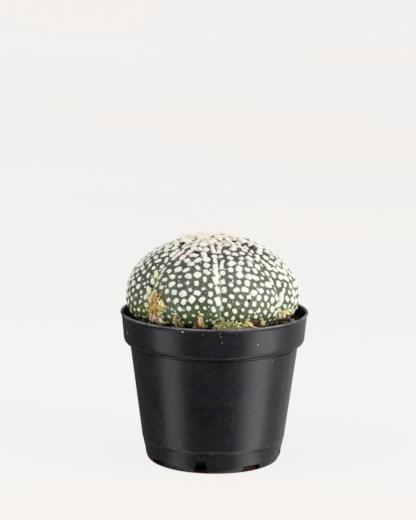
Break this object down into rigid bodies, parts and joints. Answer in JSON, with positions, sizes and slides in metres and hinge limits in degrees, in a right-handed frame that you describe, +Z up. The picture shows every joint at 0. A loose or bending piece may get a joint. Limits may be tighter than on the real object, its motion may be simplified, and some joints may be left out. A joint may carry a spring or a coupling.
{
  "type": "potted star cactus",
  "caption": "Low ribbed globe cactus covered in white felt flecks, growing in potting mix in a round black nursery pot with a stepped rim band.",
  "frame": {"origin": "centre of the pot's foot ring, on the surface that the pot stands on", "axes": "+Z up through the middle of the pot, -Y the front, +X the right seen from the front"},
  "size_m": [0.0912, 0.0912, 0.1087],
  "materials": {
    "pot_plastic": "satin",
    "potting_mix": "matte",
    "soil_crumb": "matte",
    "cactus_skin": "matte",
    "dried_flower": "matte",
    "moss": "matte"
  },
  "bodies": {
    "root": {"nursery_pot": "pot_plastic", "potting_mix": "potting_mix", "cactus_body": "cactus_skin", "dried_flower_left": "dried_flower", "dried_flower_middle": "dried_flower", "dried_flower_front": "dried_flower", "dried_husk_right": "dried_flower", "dried_husk_side": "dried_flower", "moss_strand_front": "moss", "soil_crumb_01": "soil_crumb", "soil_crumb_02": "soil_crumb", "soil_crumb_03": "soil_crumb", "soil_crumb_04": "soil_crumb", "soil_crumb_05": "soil_crumb", "soil_crumb_06": "soil_crumb", "soil_crumb_07": "soil_crumb", "soil_crumb_08": "soil_crumb", "soil_crumb_09": "soil_crumb", "soil_crumb_10": "soil_crumb", "soil_crumb_11": "soil_crumb", "soil_crumb_12": "soil_crumb"}
  },
  "joints": []
}
